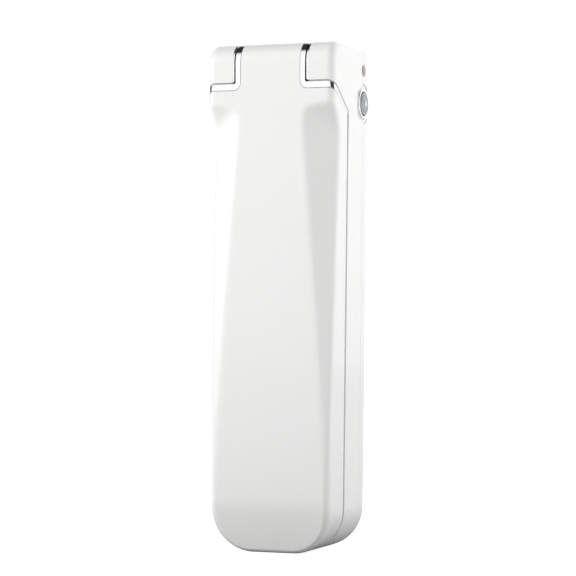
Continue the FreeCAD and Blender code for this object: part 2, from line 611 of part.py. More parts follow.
for side in (-1, 1):
    sections = [
        facet_section(cover, 0, side, "facet_top", half_width("facet_top") + " - 1.2", "0.7"),
        facet_section(cover, 1, side, "facet_full", "plateau_full", "facet_side_full"),
        facet_section(cover, 2, side, "facet_mid", "plateau_mid", "facet_side_mid"),
        facet_section(cover, 3, side, "facet_end", half_width("facet_end") + " - 0.4", "0.2"),
    ]
    loft = cover.newObject("PartDesign::SubtractiveLoft", "facet_%s" % ("left", "", "right")[side + 1])
    loft.Profile = sections[0]
    loft.Sections = sections[1:]
    loft.Ruled = True
    cover.Tip = loft
    doc.recompute()

pad(cover, "YZ", "knuckle_web", "-(%s)" % inner_knuckle, inner_knuckle, knuckle_web)
pad(cover, "YZ", "knuckle_barrel", "-(%s)" % inner_knuckle, inner_knuckle,
    (AXIS_Y, AXIS_Z, "hinge_inset"))
pocket(cover, "XZ", "hollow", ARM_FACE + " - hollow_depth", ARM_FACE, outline("wall", "facet_full"))
pocket(cover, "XZ", "spring_well", FRONT + " + plate", ARM_FACE + " - hollow_depth",
       rectangle("-(plateau_full - 1)", "plateau_full - 1", "seal_bottom - 6", "facet_full - 2"))
pad(cover, "XZ", "screw_bosses", ARM_FACE + " - hollow_depth", ARM_FACE + " - liner",
    *[(x, z, "arm_boss") for x, z in ARM_SCREWS])
pocket(cover, "XZ", "screw_pilots", ARM_FACE + " - 5", ARM_FACE + " - liner",
       *[(x, z, "screw_radius") for x, z in ARM_SCREWS])
dress(cover, "Fillet", "trim_corners", "trim_corner",
      [name for side in (-1, 1) for name in edges_where(
          cover.Shape, x=(side*value_of(inner_knuckle),) * 2,
          z=(value_of(band_rear_z), value_of(band_front_z)))])
pocket(cover, "YZ", "bush_bore", "-(%s)" % inner_knuckle, inner_knuckle,
       (AXIS_Y, AXIS_Z, "bush_radius"))

trim = node(body("hinge_trim_right"))
pad(trim, "XZ", "blank", FRONT, ARM_FACE,
    [("knuckle_half", "facet_full"), (half_width("facet_full"), "facet_full"),
     (half_width("height - blank_top"), "height - blank_top"), ("knuckle_half", "height - blank_top")])
dress(trim, "Fillet", "front_round", "front_round",
      [name for name in edges_where(trim.Shape, y=(value_of(FRONT), value_of(FRONT)))
       if trim.Shape.getElement(name).BoundBox.XMin > value_of("knuckle_half") + 1])
pocket(trim, "YZ", "below_band", "0", "width_top",
       [(FRONT + " - 1", extend_z(band_front_z, band_rear_z, FRONT, ARM_FACE, FRONT + " - 1")),
        (ARM_FACE + " + 1",
         extend_z(band_front_z, band_rear_z, FRONT, ARM_FACE, ARM_FACE + " + 1")),
        (ARM_FACE + " + 1", "facet_full - 1"), (FRONT + " - 1", "facet_full - 1")])
pocket(trim, "YZ", "above_band", "0", "width_top",
       [(FRONT + " - 1", shoulder_z(FRONT + " - 1", "shoulder_distance")),
        (ARM_FACE + " + 1", shoulder_z(ARM_FACE + " + 1", "shoulder_distance")),
        (ARM_FACE + " + 1", "height"), (FRONT + " - 1", "height")])
pad(trim, "YZ", "cheek_web", inner_knuckle, "knuckle_half",
    [(FRONT, band_front_z),
     (AXIS_Y + " + hinge_inset",
      extend_z(band_front_z, band_rear_z, FRONT, ARM_FACE, AXIS_Y + " + hinge_inset")),
     (AXIS_Y + " + hinge_inset", AXIS_Z), (FRONT, AXIS_Z)])
pad(trim, "YZ", "cheek_round", inner_knuckle, "knuckle_half", (AXIS_Y, AXIS_Z, "hinge_inset"))
dress(trim, "Fillet", "inner_corner", "ear_corner",
      [name for name in edges_where(trim.Shape, x=(value_of("knuckle_half"),) * 2,
                                    y=(value_of(FRONT), value_of(KNUCKLE_WALL)),
                                    z=(value_of(band_rear_z), value_of("height - blank_top")))
       if trim.Shape.getElement(name).BoundBox.YLength > 5])
dress(trim, "Fillet", "outer_corner", "trim_corner",
      [name for name in edges_where(trim.Shape, x=(value_of(inner_knuckle),) * 2,
                                    z=(value_of(band_rear_z), value_of(band_front_z)))
       if trim.Shape.getElement(name).BoundBox.YLength > 1])
pocket(trim, "YZ", "bush_bore", inner_knuckle, "knuckle_half", (AXIS_Y, AXIS_Z, "bush_radius"))
pocket(trim, "YZ", "washer_recess", "knuckle_half - 0.5", "knuckle_half",
       (AXIS_Y, AXIS_Z, "washer_radius + 0.15"))
trim_left = node(mirrored("hinge_trim_left", trim))

# The inner plate closes the arm and guides the press bar in its slot.
liner = node(body("arm_liner"))
pad(liner, "XZ", "plate", ARM_FACE + " - liner", ARM_FACE,
    outline("wall + slip", "facet_full - slip"))
pocket(liner, "XZ", "press_slot", ARM_FACE + " - liner", ARM_FACE,
       rectangle("-(seal_half + 1.1)", "seal_half + 1.1", "seal_bottom - 3", SEAL_TOP + " + 3"))
pocket(liner, "XZ", "magnet_seat", ARM_FACE + " - magnet_depth", ARM_FACE,
       ("0", "magnet_z", "magnet_radius"))
pocket(liner, "XZ", "screw_holes", ARM_FACE + " - liner", ARM_FACE,
       *[(x, z, "screw_radius + 0.1") for x, z in ARM_SCREWS])
pocket(liner, "XZ", "screw_sinks", ARM_FACE + " - arm_head_seat", ARM_FACE,
       *[(x, z, "screw_head - 0.2") for x, z in ARM_SCREWS])

arm_screw = body("arm_screw_form")
pad(arm_screw, "XZ", "head", ARM_FACE + " - arm_head_seat", ARM_FACE + " - 0.1",
    ("0", "0", "screw_head - 0.3"))
pad(arm_screw, "XZ", "shank", ARM_FACE + " - 4.9", ARM_FACE + " - arm_head_seat",
    ("0", "0", "screw_radius"))
pocket(arm_screw, "XZ", "slot", ARM_FACE + " - 0.6", ARM_FACE + " - 0.1",
       rectangle("-1.2", "1.2", "-0.25", "0.25"))
arm_screws = node(repeat("arm_screws", arm_screw, [(x, "0", z) for x, z in ARM_SCREWS]))

# ---------------------------------------------------------------- press bar
# Sprung bar that evens out the squeeze; a silicone strip on its face meets the bag.
press_bar = node(body("press_bar"))
flange_front = ARM_FACE + " - liner - 0.05"
flange_back = flange_front + " - 2"
pad(press_bar, "XZ", "flange", flange_back, flange_front,
    rectangle("-(seal_half + 2.9)", "seal_half + 2.9", "seal_bottom - 4.5", SEAL_TOP + " + 3"))
pad(press_bar, "XZ", "head", flange_front, ARM_FACE + " - 0.7",
    rectangle("-(seal_half + 0.9)", "seal_half + 0.9", "seal_bottom - 2.8", SEAL_TOP + " + 2.8"))
pocket(press_bar, "XZ", "pad_seat", ARM_FACE + " - 1.2", ARM_FACE + " - 0.7",
       rectangle("-(seal_half - 0.5)", "seal_half - 0.5", "seal_bottom - 1", SEAL_TOP + " + 1"))
SPRING_HEIGHTS = ["seal_bottom + 9", "seal_bottom + seal_length/2", SEAL_TOP + " - 9"]
pad(press_bar, "XZ", "spring_posts", flange_back + " - 2", flange_back,
    *[("0", z, "1.5") for z in SPRING_HEIGHTS])

silicone = node(body("silicone_strip"))
pad(silicone, "XZ", "strip", ARM_FACE + " - 1.2", PAD_FACE,
    rectangle("-(seal_half - 0.5)", "seal_half - 0.5", "seal_bottom - 1", SEAL_TOP + " + 1"))
strip_edges = [name for side in (-1, 1) for name in edges_where(
    silicone.Shape, x=(side*value_of("seal_half - 0.5"),) * 2, y=(value_of(PAD_FACE),) * 2)]
dress(silicone, "Fillet", "soft_edges", "0.4", strip_edges)


def coil_spring(label, coil_radius, wire_radius, turns, length):
    """Helical wire along -Y from the origin, with its wire ends on its two end planes."""
    rise = length - 2*wire_radius
    helix = Part.makeHelix(rise/turns, rise, coil_radius)
    helix.rotate(FreeCAD.Vector(0, 0, 0), FreeCAD.Vector(1, 0, 0), 90)
    helix.translate(FreeCAD.Vector(0, -wire_radius, 0))
    section = Part.Wire(Part.makeCircle(wire_radius, FreeCAD.Vector(coil_radius, -wire_radius, 0),
                                        FreeCAD.Vector(0, 0, 1)))
    item = doc.addObject("Part::Feature", label)
    item.Shape = Part.Wire(helix).makePipeShell([section], True, True)
    return item


well_floor = FRONT + " + plate"
spring_length = value_of(flange_back) - value_of(well_floor)
spring = coil_spring("press_spring_form", 2.1, 0.3, 5, spring_length)
springs = node(repeat("press_springs", spring, [("0", flange_back, z) for z in SPRING_HEIGHTS]))

# ---------------------------------------------------------------- closing magnets
base_magnet = node(body("base_magnet"))
pad(base_magnet, "XZ", "disc", BASE_FACE + " + 0.05", BASE_FACE + " + magnet_depth",
    ("0", "magnet_z", "magnet_radius"))
arm_magnet = node(body("arm_magnet"))
pad(arm_magnet, "XZ", "disc", ARM_FACE + " - magnet_depth", ARM_FACE + " - 0.05",
    ("0", "magnet_z", "magnet_radius"))

# ---------------------------------------------------------------- wiring
# The lower heater lead runs up between the tray and the battery to the board.  The upper
# one passes through the thermal cut-out on the back of the tray.
fuse = node(body("thermal_cutout"))
fuse_y = INNER_FRONT + " + tray_flange + fuse_radius"
pad(fuse, "XY", "can", SEAL_TOP + " - 14", SEAL_TOP + " - 6", ("5", fuse_y, "fuse_radius"))


def wire_run(label, radius, points):
    """Round wire along straight runs joined by tangent arcs."""
    stops = [FreeCAD.Vector(*[value_of(text) for text in point]) for point in points]
    edges = []
    start = stops[0]
    for index in range(1, len(stops) - 1):
        corner = stops[index]
        back = stops[index - 1] - corner
        ahead = stops[index + 1] - corner
        trim_back = 0.45*min(back.Length, ahead.Length)
        enter = corner + back.normalize()*trim_back
        leave = corner + ahead.normalize()*trim_back
        bend = trim_back/math.tan((math.pi - back.getAngle(ahead))/2)
        middle = corner + (back + ahead).normalize()*(
            (bend**2 + trim_back**2)**0.5 - bend)
        edges.append(Part.makeLine(start, enter))
        edges.append(Part.Arc(enter, middle, leave).toShape())
        print("%s bend radius %.2f" % (label, bend))
        start = leave
    edges.append(Part.makeLine(start, stops[-1]))
    path = Part.Wire(edges)
    ring = Part.Wire(Part.makeCircle(radius, stops[0], stops[1] - stops[0]))
    item = doc.addObject("Part::Feature", label)
    item.Label = label
    item.Shape = path.makePipeShell([ring], True, False)
    expected = math.pi*radius**2*path.Length
    if abs(item.Shape.Volume/expected - 1) > 0.02:
        raise RuntimeError(label + " is not a clean tube")
    return node(item)


lead_y = INNER_FRONT + " + 6.1"
wire_run("heater_lead_lower", 0.55, [
    ("0", INNER_FRONT + " + 5", "seal_bottom + 1"), ("0", lead_y, "seal_bottom + 1"),
    ("0", lead_y, "board_low + 4"), ("0", "board_y", "board_low + 4")])
wire_run("heater_lead_upper", 0.55, [
    ("1", fuse_y, SEAL_TOP + " - 1"), ("5", fuse_y, SEAL_TOP + " - 1"),
    ("5", fuse_y, SEAL_TOP + " - 6")])
wire_run("cutout_lead", 0.55, [
    ("5", fuse_y, SEAL_TOP + " - 14"), ("5", fuse_y, "board_low + 2"),
    ("5", "board_y", "board_low + 2")])
battery_y = "battery_front + battery_thick/2"
for label, x in (("battery_wire_positive", "-7"), ("battery_wire_negative", "-4")):
    wire_run(label, 0.6, [(x, battery_y, battery_top), (x, battery_y, "board_low + 1")])

# ---------------------------------------------------------------- write the parts
doc.recompute()
os.makedirs("parts", exist_ok=True)
for item in doc.Objects:
    if "Invalid" in item.State or "Error" in item.State:
        raise RuntimeError("%s is in a bad state: %s" % (item.Label, item.State))
for item in NODES:
    shape = item.Shape
    if shape.isNull() or not shape.isValid() or not shape.Solids:
        raise RuntimeError(item.Label + " has no sound solid")
    shape.exportStep("parts/%s.step" % item.Label)
    box = shape.BoundBox
    print("%-22s %2d solid  %8.1f mm3  x %.2f..%.2f  y %.2f..%.2f  z %.2f..%.2f" % (
        item.Label, len(shape.Solids), shape.Volume, box.XMin, box.XMax, box.YMin, box.YMax,
        box.ZMin, box.ZMax))
print("%d parts" % len(NODES))
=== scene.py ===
import math

import bpy
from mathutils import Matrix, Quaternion, Vector


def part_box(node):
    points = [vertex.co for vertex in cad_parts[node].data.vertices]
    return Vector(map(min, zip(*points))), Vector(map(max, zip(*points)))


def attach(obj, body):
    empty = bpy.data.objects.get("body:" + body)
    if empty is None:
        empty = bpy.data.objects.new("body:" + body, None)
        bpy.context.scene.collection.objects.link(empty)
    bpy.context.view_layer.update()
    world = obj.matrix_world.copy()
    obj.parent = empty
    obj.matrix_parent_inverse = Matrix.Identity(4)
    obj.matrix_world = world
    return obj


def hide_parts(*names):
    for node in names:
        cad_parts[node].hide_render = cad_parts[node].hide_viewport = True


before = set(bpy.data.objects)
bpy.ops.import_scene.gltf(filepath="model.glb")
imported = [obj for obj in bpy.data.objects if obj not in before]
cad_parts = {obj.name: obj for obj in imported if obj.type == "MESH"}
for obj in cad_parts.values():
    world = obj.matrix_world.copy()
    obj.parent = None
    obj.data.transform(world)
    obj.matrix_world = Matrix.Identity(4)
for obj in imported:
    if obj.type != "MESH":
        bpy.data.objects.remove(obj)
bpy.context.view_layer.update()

scene = bpy.context.scene

# ------------------------------------------------------------ base, front shell
# The rear half's front moulding with the two hinge ears: white ABS straight from a polished
# mould, glossy, with a faint ripple, a little dust and very slightly dulled edges.


def effect_group(name, inputs, outputs):
    """An empty shader group with the named value (or colour) inputs and outputs."""
    group = bpy.data.node_groups.new(name, "ShaderNodeTree")
    for label, kind, default in inputs:
        socket = group.interface.new_socket(label, in_out="INPUT", socket_type="NodeSocket" + kind)
        socket.default_value = default
    for label, kind in outputs:
        group.interface.new_socket(label, in_out="OUTPUT", socket_type="NodeSocket" + kind)
    return group, group.nodes.new("NodeGroupInput"), group.nodes.new("NodeGroupOutput")


def link(tree, source, target):
    tree.links.new(source, target)


def ramp(tree, source, low, high, start=0.0, end=1.0):
    """Map the stretch low..high of a value onto start..end."""
    node = tree.nodes.new("ShaderNodeMapRange")
    node.inputs["From Min"].default_value = low
    node.inputs["From Max"].default_value = high
    node.inputs["To Min"].default_value = start
    node.inputs["To Max"].default_value = end
    link(tree, source, node.inputs["Value"])
    return node.outputs["Result"]


def blend_colour(tree, amount, first, second, mode="MIX"):
    """Mix two colours; amount may be a socket or a number."""
    node = tree.nodes.new("ShaderNodeMix")
    node.data_type = "RGBA"
    node.blend_type = mode
    for value, socket in zip((amount, first, second),
                             (node.inputs[0], node.inputs[6], node.inputs[7])):
        if hasattr(value, "is_output"):
            link(tree, value, socket)
        else:
            socket.default_value = value
    return node.outputs[2]


def noise(tree, coordinates, scale, detail=3.0, rough=0.5):
    node = tree.nodes.new("ShaderNodeTexNoise")
    node.inputs["Scale"].default_value = scale
    node.inputs["Detail"].default_value = detail
    node.inputs["Roughness"].default_value = rough
    link(tree, coordinates, node.inputs["Vector"])
    return node.outputs["Fac"]


def times(tree, first, second, operation="MULTIPLY"):
    node = tree.nodes.new("ShaderNodeMath")
    node.operation = operation
    for value, socket in zip((first, second), node.inputs):
        if hasattr(value, "is_output"):
            link(tree, value, socket)
        else:
            socket.default_value = value
    return node.outputs[0]


# Moulding marks: slow colour drift, faint dust specks and handling marks, mould ripple.
moulding, inside, outside = effect_group(
    "moulding_marks",
    [("Colour", "Color", (0.8, 0.8, 0.8, 1)), ("Drift", "Float", 0.03), ("Dust", "Float", 0.1),
     ("Smooth", "Float", 0.2), ("Smudge", "Float", 0.08), ("Grain Size", "Float", 900.0)],
    [("Colour", "Color"), ("Roughness", "Float"), ("Height", "Float")])
place = moulding.nodes.new("ShaderNodeTexCoord").outputs["Object"]
slow = noise(moulding, place, 35.0, 2.0)
darker = blend_colour(moulding, 1.0, inside.outputs["Colour"], (0.86, 0.85, 0.83, 1), "MULTIPLY")
drifted = blend_colour(moulding, times(moulding, slow, inside.outputs["Drift"]),
                       inside.outputs["Colour"], darker)
specks = moulding.nodes.new("ShaderNodeTexVoronoi")
specks.inputs["Scale"].default_value = 260.0
link(moulding, place, specks.inputs["Vector"])
dots = ramp(moulding, specks.outputs["Distance"], 0.07, 0.03)
sparse = ramp(moulding, noise(moulding, place, 90.0, 1.0), 0.60, 0.66)
dust = times(moulding, times(moulding, dots, sparse), inside.outputs["Dust"])
dusted = blend_colour(moulding, dust, drifted, (0.32, 0.3, 0.28, 1))
link(moulding, dusted, outside.inputs["Colour"])
smear = ramp(moulding, noise(moulding, place, 110.0, 4.0, 0.65), 0.4, 0.75)
dulled = times(moulding, smear, inside.outputs["Smudge"])
link(moulding, times(moulding, dulled, inside.outputs["Smooth"], "ADD"),
     outside.inputs["Roughness"])
grains = moulding.nodes.new("ShaderNodeTexNoise")
grains.inputs["Detail"].default_value = 2.0
link(moulding, place, grains.inputs["Vector"])
link(moulding, inside.outputs["Grain Size"], grains.inputs["Scale"])
link(moulding, grains.outputs["Fac"], outside.inputs["Height"])

# Edge wear: a mask on outward-curving edges, broken up so that it is never even.
wear, inside, outside = effect_group(
    "edge_wear", [("Amount", "Float", 0.3)], [("Mask", "Float")])
place = wear.nodes.new("ShaderNodeTexCoord").outputs["Object"]
curve = wear.nodes.new("ShaderNodeNewGeometry").outputs["Pointiness"]
edges = ramp(wear, curve, 0.52, 0.60)
patchy = ramp(wear, noise(wear, place, 240.0, 4.0), 0.42, 0.66)
link(wear, times(wear, times(wear, edges, patchy), inside.outputs["Amount"]),
     outside.inputs["Mask"])


def plastic(name, colour, smooth, drift=0.3, dust=0.0, smudge=0.05, grain=900.0, bump=0.02,
            worn=(0.7, 0.7, 0.7, 1), wear_amount=0.2, coat=0.0):
    """Moulded plastic or rubber: marks from the mould, worn edges, and its own gloss."""
    material = bpy.data.materials.new(name)
    material.use_nodes = True
    tree = material.node_tree
    shader = tree.nodes["Principled BSDF"]
    marks = tree.nodes.new("ShaderNodeGroup")
    marks.node_tree = moulding
    marks.inputs["Colour"].default_value = colour
    marks.inputs["Drift"].default_value = drift
    marks.inputs["Dust"].default_value = dust
    marks.inputs["Smooth"].default_value = smooth
    marks.inputs["Smudge"].default_value = smudge
    marks.inputs["Grain Size"].default_value = grain
    rubbed = tree.nodes.new("ShaderNodeGroup")
    rubbed.node_tree = wear
    rubbed.inputs["Amount"].default_value = wear_amount
    link(tree, blend_colour(tree, rubbed.outputs["Mask"], marks.outputs["Colour"], worn),
         shader.inputs["Base Color"])
    link(tree, marks.outputs["Roughness"], shader.inputs["Roughness"])
    relief = tree.nodes.new("ShaderNodeBump")
    relief.inputs["Strength"].default_value = bump
    relief.inputs["Distance"].default_value = 0.0002
    link(tree, marks.outputs["Height"], relief.inputs["Height"])
    link(tree, relief.outputs["Normal"], shader.inputs["Normal"])
    shader.inputs["Coat Weight"].default_value = coat
    shader.inputs["Coat Roughness"].default_value = 0.06
    return material


def finish_nodes(material, *names):
    for name in names:
        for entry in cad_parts[name].material_slots:
            entry.material = material


white_abs = plastic("white_gloss_abs", (0.83, 0.83, 0.825, 1), 0.3, drift=0.25, dust=0.15,
                    smudge=0.1, grain=160.0, bump=0.015, worn=(0.88, 0.88, 0.87, 1), coat=0.4)
finish_nodes(white_abs, "base_front_shell", "base_rear_shell", "hinge_plug", "arm_cover")

# ------------------------------------------------------------ screws and feet
# Zinc-plated pan-head screws driven from the back; soft pale feet pushed in over their heads.


def metal(name, colour, smooth, grain=400.0, bump=0.05, stretch=(1, 1, 1), worn=0.2, uneven=0.12):
    """Bare or plated metal: grain along one direction, tarnish, and brighter worn edges."""
    material = bpy.data.materials.new(name)
    material.use_nodes = True
    tree = material.node_tree
    shader = tree.nodes["Principled BSDF"]
    shader.inputs["Metallic"].default_value = 1.0
    mapping = tree.nodes.new("ShaderNodeMapping")
    mapping.inputs["Scale"].default_value = stretch
    link(tree, tree.nodes.new("ShaderNodeTexCoord").outputs["Object"], mapping.inputs["Vector"])
    grains = noise(tree, mapping.outputs["Vector"], grain, 4.0, 0.6)
    tarnish = noise(tree, mapping.outputs["Vector"], grain/8, 2.0)
    dull = tuple(0.72*channel for channel in colour[:3]) + (1,)
    base = blend_colour(tree, ramp(tree, tarnish, 0.35, 0.8, 0.0, uneven*3), colour, dull)
    rubbed = tree.nodes.new("ShaderNodeGroup")
    rubbed.node_tree = wear
    rubbed.inputs["Amount"].default_value = worn
    bright = tuple(min(1.0, 1.25*channel) for channel in colour[:3]) + (1,)
    link(tree, blend_colour(tree, rubbed.outputs["Mask"], base, bright),
         shader.inputs["Base Color"])
    link(tree, ramp(tree, grains, 0.3, 0.7, smooth, smooth + uneven), shader.inputs["Roughness"])
    relief = tree.nodes.new("ShaderNodeBump")
    relief.inputs["Strength"].default_value = bump
    relief.inputs["Distance"].default_value = 0.0001
    link(tree, grains, relief.inputs["Height"])
    link(tree, relief.outputs["Normal"], shader.inputs["Normal"])
    return material


zinc = metal("zinc_plate", (0.6, 0.61, 0.63, 1), 0.28, grain=900.0)
finish_nodes(zinc, "casing_screws", "tray_screws", "board_screws", "arm_screws", "charging_port")
foot_rubber = plastic("pale_foot_rubber", (0.7, 0.7, 0.69, 1), 0.75, grain=2500.0, bump=0.2)
finish_nodes(foot_rubber, "rubber_feet")

# ------------------------------------------------------------ heater
# Black heat-proof tray, mica bar, drawn nickel-chrome ribbon under a woven glass cover sheet,
# brass terminals and the metal can of the thermal cut-out.
tray_nylon = plastic("heat_proof_nylon", (0.035, 0.035, 0.037, 1), 0.55, grain=1800.0, bump=0.15,
                     worn=(0.12, 0.12, 0.12, 1))
finish_nodes(tray_nylon, "heater_tray", "press_bar")
mica = plastic("mica_board", (0.62, 0.56, 0.44, 1), 0.5, drift=1.0, grain=700.0, bump=0.2)
finish_nodes(mica, "insulating_bar")
ribbon_metal = metal("nickel_chrome_ribbon", (0.5, 0.47, 0.43, 1), 0.3, 1200.0, 0.2, (1, 1, 0.03))
finish_nodes(ribbon_metal, "heating_ribbon")


def woven(name, light, dark, pitch, smooth):
    """Woven cloth under a coating: crossing threads from two wave patterns."""
    material = bpy.data.materials.new(name)
    material.use_nodes = True
    tree = material.node_tree
    shader = tree.nodes["Principled BSDF"]
    place = tree.nodes.new("ShaderNodeTexCoord").outputs["Object"]
    threads = []
    for direction in ("X", "Z"):
        wave = tree.nodes.new("ShaderNodeTexWave")
        wave.bands_direction = direction
        wave.inputs["Scale"].default_value = 0.314/pitch
        wave.inputs["Distortion"].default_value = 0.4
        link(tree, place, wave.inputs["Vector"])
        threads.append(wave.outputs["Fac"])
    weave = times(tree, threads[0], threads[1])
    aged = noise(tree, place, 60.0, 3.0)
    base = blend_colour(tree, weave, dark, light)
    link(tree, blend_colour(tree, ramp(tree, aged, 0.4, 0.8, 0.0, 0.4), base, dark),
         shader.inputs["Base Color"])
    link(tree, ramp(tree, weave, 0.0, 1.0, smooth + 0.15, smooth), shader.inputs["Roughness"])
    relief = tree.nodes.new("ShaderNodeBump")
    relief.inputs["Strength"].default_value = 0.4
    relief.inputs["Distance"].default_value = 0.0001
    link(tree, weave, relief.inputs["Height"])
    link(tree, relief.outputs["Normal"], shader.inputs["Normal"])
    return material


glass_cloth = woven("coated_glass_cloth", (0.56, 0.4, 0.22, 1), (0.36, 0.24, 0.12, 1), 0.0005, 0.35)
finish_nodes(glass_cloth, "ribbon_cover_sheet")
brass = metal("terminal_brass", (0.72, 0.52, 0.22, 1), 0.25, 800.0)
finish_nodes(brass, "ribbon_terminals")
can_metal = metal("drawn_can", (0.66, 0.67, 0.69, 1), 0.3, 700.0, 0.05, (1, 1, 0.1))
finish_nodes(can_metal, "thermal_cutout", "filter_capacitors")

# ------------------------------------------------------------ battery and circuit
# Foil pouch cell on black foam; green board with moulded epoxy parts and nylon connector.
foil = metal("pouch_foil", (0.68, 0.69, 0.7, 1), 0.32, 300.0, 0.25, (1, 1, 0.4))
finish_nodes(foil, "battery_pack")
foam = plastic("black_foam", (0.02, 0.02, 0.02, 1), 0.95, grain=3000.0, bump=0.8)
finish_nodes(foam, "battery_foam_pad")
solder_mask = plastic("green_solder_mask", (0.012, 0.12, 0.05, 1), 0.3, drift=1.0, grain=500.0,
                      bump=0.1)
finish_nodes(solder_mask, "circuit_board")
epoxy = plastic("black_epoxy", (0.018, 0.018, 0.02, 1), 0.5, grain=2500.0, bump=0.15)
finish_nodes(epoxy, "power_inductor", "control_chip", "power_transistors", "button_switch")
nylon = plastic("ivory_nylon", (0.74, 0.72, 0.64, 1), 0.4, grain=1500.0)
finish_nodes(nylon, "battery_connector", "indicator_led", "hinge_bushes", "switch_plunger")
for name, colour, nodes in (
        ("white_lead_sleeve", (0.76, 0.76, 0.73, 1),
         ("heater_lead_lower", "heater_lead_upper", "cutout_lead")),
        ("red_wire_sleeve", (0.5, 0.02, 0.015, 1), ("battery_wire_positive",)),
        ("black_wire_sleeve", (0.02, 0.02, 0.02, 1), ("battery_wire_negative",))):
    finish_nodes(plastic(name, colour, 0.45, grain=2500.0), *nodes)

# ------------------------------------------------------------ hinge
# Ground steel cross shaft and washers; the ears' inner faces wear thin plated cheeks.
steel = metal("ground_steel", (0.56, 0.57, 0.58, 1), 0.22, 1200.0, 0.08, (0.05, 1, 1))
finish_nodes(steel, "hinge_shaft", "friction_washers", "press_springs", "base_magnet", "arm_magnet")
chrome = metal("bright_chrome", (0.88, 0.885, 0.89, 1), 0.05, 500.0, 0.01, uneven=0.04)


def merged_copy(name, node):
    """A copy of a CAD node with its loose triangles welded, to be worked on."""
    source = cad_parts[node]
    piece = bpy.data.objects.new(name, source.data.copy())
    scene.collection.objects.link(piece)
    bpy.ops.object.select_all(action="DESELECT")
    piece.select_set(True)
    bpy.context.view_layer.objects.active = piece
    bpy.ops.mesh.customdata_custom_splitnormals_clear()
    bpy.ops.object.mode_set(mode="EDIT")
    bpy.ops.mesh.select_all(action="SELECT")
    bpy.ops.mesh.remove_doubles(threshold=0.000001)
    bpy.ops.mesh.dissolve_limited(angle_limit=math.radians(0.3))
    bpy.ops.object.mode_set(mode="OBJECT")
    return piece


def apply_modifier(piece, kind, **settings):
    modifier = piece.modifiers.new(kind.lower(), kind)
    for key, value in settings.items():
        setattr(modifier, key, value)
    bpy.context.view_layer.objects.active = piece
    bpy.ops.object.modifier_apply(modifier=modifier.name)


def smooth(piece, angle=30):
    bpy.ops.object.select_all(action="DESELECT")
    piece.select_set(True)
    bpy.context.view_layer.objects.active = piece
    bpy.ops.object.shade_smooth_by_angle(angle=math.radians(angle))
    apply_modifier(piece, "WEIGHTED_NORMAL", keep_sharp=True)


def stand_in(piece, node, body, material):
    """Put a finished piece in a CAD node's place."""
    piece.data.materials.clear()
    piece.data.materials.append(material)
    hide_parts(node)
    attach(piece, body)


for node, body in (("ear_trim_left", "base"), ("ear_trim_right", "base"),
                   ("hinge_trim_left", "arm"), ("hinge_trim_right", "arm")):
    band = merged_copy(node + "_plated", node)
    apply_modifier(band, "BEVEL", width=0.00022 if body == "arm" else 0.00012, segments=3,
                   limit_method="ANGLE", angle_limit=math.radians(35))
    smooth(band, 50)
    stand_in(band, node, body, chrome)

# ------------------------------------------------------------ button and indicator
# Bright ring let into the side, a satin grey cap with turned steps, a clear dot, and the
# smoky lens of the indicator above it.
bezel = merged_copy("button_bezel_plated", "button_bezel")
apply_modifier(bezel, "BEVEL", width=0.00015, segments=3, limit_method="ANGLE",
               angle_limit=math.radians(35))
smooth(bezel, 50)
stand_in(bezel, "button_bezel", "base", chrome)

cap_grey = metal("button_grey", (0.5, 0.51, 0.53, 1), 0.3, 900.0, 0.05)
cap_low, cap_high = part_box("button_cap")
cap_radius = 0.00335
cap_front = cap_high[0] - 0.00045
# Width and rise of each turned step, from the rim inwards.
cap_steps = ((0.0001, 0.0001), (0.0004, 0.0), (0.00012, -0.00018), (0.00018, 0.0),
             (0.00012, 0.00024), (0.0006, 0.00006), (0.0001, -0.00014), (0.0001, 0.00016),
             (0.0007, 0.00004), (0.0001, -0.0001))
bpy.ops.object.select_all(action="DESELECT")
bpy.ops.mesh.primitive_circle_add(vertices=72, radius=cap_radius, fill_type="NGON",
                                  location=(cap_front, (cap_low[1] + cap_high[1])/2,
                                            (cap_low[2] + cap_high[2])/2),
                                  rotation=(0, math.pi/2, 0))
cap = bpy.context.object
cap.name = "button_cap_turned"
bpy.ops.object.transform_apply(location=True, rotation=True, scale=True)
bpy.ops.object.mode_set(mode="EDIT")
bpy.ops.mesh.select_all(action="SELECT")
bpy.ops.mesh.extrude_region_move(TRANSFORM_OT_translate={"value": (0.00005, 0, 0)})
for width, rise in cap_steps:
    bpy.ops.mesh.inset(thickness=width, depth=rise)
bpy.ops.object.mode_set(mode="OBJECT")
cap_middle = Vector(((cap_low[1] + cap_high[1])/2, (cap_low[2] + cap_high[2])/2))
for vertex in cap.data.vertices:
    off_middle = (Vector(vertex.co[1:]) - cap_middle).length
    if vertex.co.x < cap_front + 0.00003 and off_middle > cap_radius*0.99:
        vertex.co.x = cap_low[0]
smooth(cap, 35)
stand_in(cap, "button_cap", "button", cap_grey)
dot_clear = plastic("dot_lens", (0.66, 0.68, 0.7, 1), 0.12, drift=0.1, coat=0.5)
finish_nodes(dot_clear, "button_lens")
lens_smoke = plastic("smoky_lens", (0.2, 0.15, 0.14, 1), 0.3, drift=0.4, coat=0.15)
finish_nodes(lens_smoke, "indicator_lens")

# ------------------------------------------------------------ arm inside
# Satin inner plate; silicone strip on the sprung press bar.
satin_abs = plastic("satin_abs", (0.74, 0.74, 0.73, 1), 0.45, grain=1600.0, bump=0.08)
finish_nodes(satin_abs, "arm_liner")
silicone = plastic("silicone_red", (0.36, 0.05, 0.035, 1), 0.5, grain=1200.0, bump=0.1,
                   worn=(0.42, 0.07, 0.05, 1))
finish_nodes(silicone, "silicone_strip")

